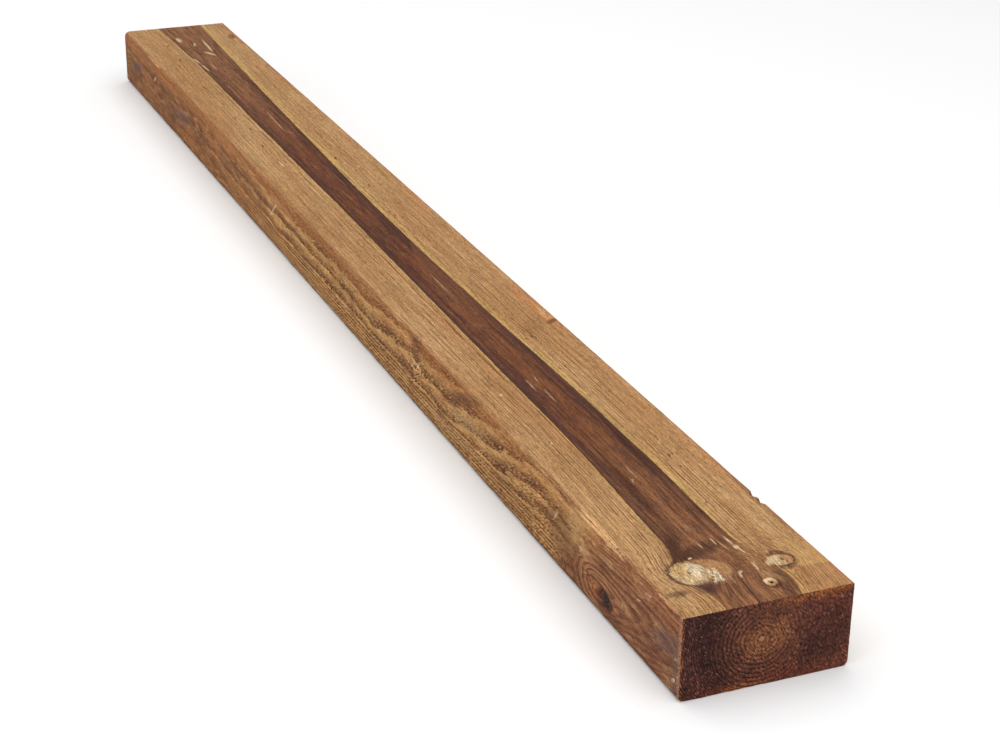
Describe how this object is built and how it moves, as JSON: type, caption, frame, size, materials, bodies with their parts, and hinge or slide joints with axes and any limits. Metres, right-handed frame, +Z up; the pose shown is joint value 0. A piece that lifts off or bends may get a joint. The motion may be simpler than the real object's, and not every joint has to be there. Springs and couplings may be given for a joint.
{
  "type": "railway sleeper",
  "caption": "Sawn softwood sleeper: a long rectangular timber lying on its broad face, with a dark heart band and eased long edges, for garden beds, steps and edging.",
  "frame": {"origin": "centre of the underside of the sleeper, on the floor", "axes": "+X along the length, towards the end where the two splinters are missing; +Y across the width, towards the splintered edge; +Z up, out of the broad top face"},
  "size_m": [2.4, 0.2, 0.1],
  "materials": {
    "treated_softwood": "rough sawn and brown treated"
  },
  "bodies": {
    "root": {"sleeper": "treated_softwood"}
  },
  "joints": []
}
